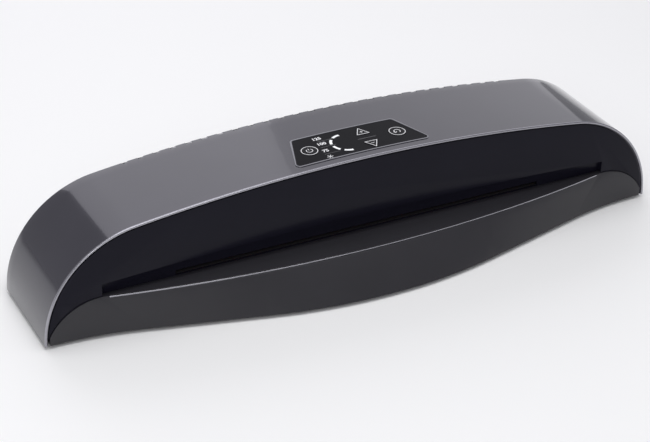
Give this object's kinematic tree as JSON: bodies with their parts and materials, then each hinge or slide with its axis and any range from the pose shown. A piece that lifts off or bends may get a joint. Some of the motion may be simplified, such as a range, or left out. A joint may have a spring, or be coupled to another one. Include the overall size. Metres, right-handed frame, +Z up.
{
  "type": "pouch laminator",
  "caption": "Low arched desktop pouch laminator: glossy casing, front entry slot over a bulging shelf, top key panel, geared heated rollers inside",
  "frame": {"origin": "centre of the bounding box in plan, on the surface the feet stand on", "axes": "+X to the right along the width, +Y to the rear (the way the pouch travels), +Z up"},
  "size_m": [0.532, 0.149, 0.1016],
  "materials": {
    "base_pan": "matt black",
    "board_spacers": "natural nylon",
    "bracket_spacers": "zinc plated",
    "case_screws": "zinc plated",
    "control_board": "circuit board",
    "cord_gland": "matt black",
    "drive_motor": "drawn can",
    "drive_pinion": "natural nylon",
    "entry_guides": "matt black",
    "entry_sensor": "moulded",
    "exit_guides": "matt black",
    "feet": "matt",
    "front_apron": "satin dark grey",
    "front_bearing_blocks": "natural nylon",
    "front_fascia": "glossy near black",
    "front_lower_gear": "natural nylon",
    "front_lower_shaft": "ground",
    "front_lower_sleeve": "silicone",
    "front_springs": "zinc plated",
    "front_trim": "bright plated",
    "front_upper_gear": "natural nylon",
    "front_upper_shaft": "ground",
    "front_upper_sleeve": "silicone",
    "heat_shield": "extruded",
    "heater_insulation": "glass fibre",
    "idler_axle": "zinc plated",
    "idler_gear": "natural nylon",
    "inner_screws": "zinc plated",
    "left_side_frame": "zinc plated",
    "light_pipes": "clear frosted",
    "lip_trim": "bright plated",
    "lower_bushes": "sintered bronze",
    "lower_heater": "extruded",
    "minus_button": "glossy black",
    "motor_bracket": "zinc plated",
    "motor_shaft": "zinc plated",
    "panel_frame": "bright plated",
    "panel_overlay": "glossy near black",
    "panel_switches": "moulded",
    "plus_button": "glossy black",
    "power_board": "circuit board",
    "power_button": "glossy black",
    "power_parts": "moulded",
    "rear_bearing_blocks": "natural nylon",
    "rear_cover": "matt black",
    "rear_lower_gear": "natural nylon",
    "rear_lower_shaft": "ground",
    "rear_lower_sleeve": "silicone",
    "rear_springs": "zinc plated",
    "rear_upper_gear": "natural nylon",
    "rear_upper_shaft": "ground",
    "rear_upper_sleeve": "silicone",
    "reverse_button": "glossy black",
    "ribbon_cable": "flat cable",
    "right_side_frame": "zinc plated",
    "spring_bars": "zinc plated",
    "thermal_cutouts": "phenolic",
    "tie_rods": "zinc plated",
    "top_cover": "glossy dark grey metallic",
    "upper_heater": "extruded"
  },
  "bodies": {
    "casing": {"base_pan": "base_pan", "board_spacers": "board_spacers", "bracket_spacers": "bracket_spacers", "case_screws": "case_screws", "control_board": "control_board", "cord_gland": "cord_gland", "drive_motor": "drive_motor", "entry_guides": "entry_guides", "entry_sensor": "entry_sensor", "exit_guides": "exit_guides", "feet": "feet", "front_apron": "front_apron", "front_fascia": "front_fascia", "front_springs": "front_springs", "front_trim": "front_trim", "heat_shield": "heat_shield", "heater_insulation": "heater_insulation", "idler_axle": "idler_axle", "inner_screws": "inner_screws", "left_side_frame": "left_side_frame", "light_pipes": "light_pipes", "lip_trim": "lip_trim", "lower_bushes": "lower_bushes", "lower_heater": "lower_heater", "motor_bracket": "motor_bracket", "panel_frame": "panel_frame", "panel_overlay": "panel_overlay", "panel_switches": "panel_switches", "power_board": "power_board", "power_parts": "power_parts", "rear_cover": "rear_cover", "rear_springs": "rear_springs", "ribbon_cable": "ribbon_cable", "right_side_frame": "right_side_frame", "spring_bars": "spring_bars", "thermal_cutouts": "thermal_cutouts", "tie_rods": "tie_rods", "top_cover": "top_cover", "upper_heater": "upper_heater"},
    "front_lower_roller": {"front_lower_shaft": "front_lower_shaft", "front_lower_sleeve": "front_lower_sleeve", "front_lower_gear": "front_lower_gear"},
    "rear_lower_roller": {"rear_lower_shaft": "rear_lower_shaft", "rear_lower_sleeve": "rear_lower_sleeve", "rear_lower_gear": "rear_lower_gear"},
    "front_upper_roller": {"front_upper_shaft": "front_upper_shaft", "front_upper_sleeve": "front_upper_sleeve", "front_upper_gear": "front_upper_gear"},
    "rear_upper_roller": {"rear_upper_shaft": "rear_upper_shaft", "rear_upper_sleeve": "rear_upper_sleeve", "rear_upper_gear": "rear_upper_gear"},
    "front_carriage": {"front_bearing_blocks": "front_bearing_blocks"},
    "rear_carriage": {"rear_bearing_blocks": "rear_bearing_blocks"},
    "idler": {"idler_gear": "idler_gear"},
    "motor_output": {"motor_shaft": "motor_shaft", "drive_pinion": "drive_pinion"},
    "power_key": {"power_button": "power_button"},
    "reverse_key": {"reverse_button": "reverse_button"},
    "plus_key": {"plus_button": "plus_button"},
    "minus_key": {"minus_button": "minus_button"}
  },
  "joints": [
    {"name": "front_lower_spin", "type": "hinge", "parent": "casing", "child": "front_lower_roller", "pos_m": [0, -0.006, 0.02505], "axis": [1, 0, 0], "continuous": true},
    {"name": "rear_lower_spin", "type": "hinge", "parent": "casing", "child": "rear_lower_roller", "pos_m": [0, 0.044, 0.02505], "axis": [1, 0, 0], "continuous": true},
    {"name": "front_lift", "type": "slide", "parent": "casing", "child": "front_carriage", "axis": [0, 0, 1], "range_m": [0, 0.0012], "stiffness_N_per_m": 10000, "springref_m": -0.002, "deforming": ["front_springs"]},
    {"name": "rear_lift", "type": "slide", "parent": "casing", "child": "rear_carriage", "axis": [0, 0, 1], "range_m": [0, 0.0012], "stiffness_N_per_m": 10000, "springref_m": -0.002, "deforming": ["rear_springs"]},
    {"name": "front_upper_spin", "type": "hinge", "parent": "front_carriage", "child": "front_upper_roller", "pos_m": [0, -0.006, 0.04735], "axis": [1, 0, 0], "continuous": true},
    {"name": "rear_upper_spin", "type": "hinge", "parent": "rear_carriage", "child": "rear_upper_roller", "pos_m": [0, 0.044, 0.04735], "axis": [1, 0, 0], "continuous": true},
    {"name": "idler_spin", "type": "hinge", "parent": "casing", "child": "idler", "pos_m": [0, 0.019, 0.02505], "axis": [1, 0, 0], "continuous": true},
    {"name": "motor_spin", "type": "hinge", "parent": "casing", "child": "motor_output", "pos_m": [0, 0.019, 0.04805], "axis": [1, 0, 0], "continuous": true},
    {"name": "power_press", "type": "slide", "parent": "casing", "child": "power_key", "axis": [0, 0, -1], "range_m": [0, 0.0006], "stiffness_N_per_m": 900, "springref_m": -0.0004},
    {"name": "reverse_press", "type": "slide", "parent": "casing", "child": "reverse_key", "axis": [0, 0, -1], "range_m": [0, 0.0006], "stiffness_N_per_m": 900, "springref_m": -0.0004},
    {"name": "plus_press", "type": "slide", "parent": "casing", "child": "plus_key", "axis": [0, 0, -1], "range_m": [0, 0.0006], "stiffness_N_per_m": 900, "springref_m": -0.0004},
    {"name": "minus_press", "type": "slide", "parent": "casing", "child": "minus_key", "axis": [0, 0, -1], "range_m": [0, 0.0006], "stiffness_N_per_m": 900, "springref_m": -0.0004}
  ],
  "couplings": [
    {"joint": "rear_lower_spin", "follows": "front_lower_spin", "ratio": 1},
    {"joint": "front_upper_spin", "follows": "front_lower_spin", "ratio": -1},
    {"joint": "rear_upper_spin", "follows": "front_lower_spin", "ratio": -1},
    {"joint": "idler_spin", "follows": "front_lower_spin", "ratio": -0.78571},
    {"joint": "motor_spin", "follows": "front_lower_spin", "ratio": 1.2222}
  ]
}
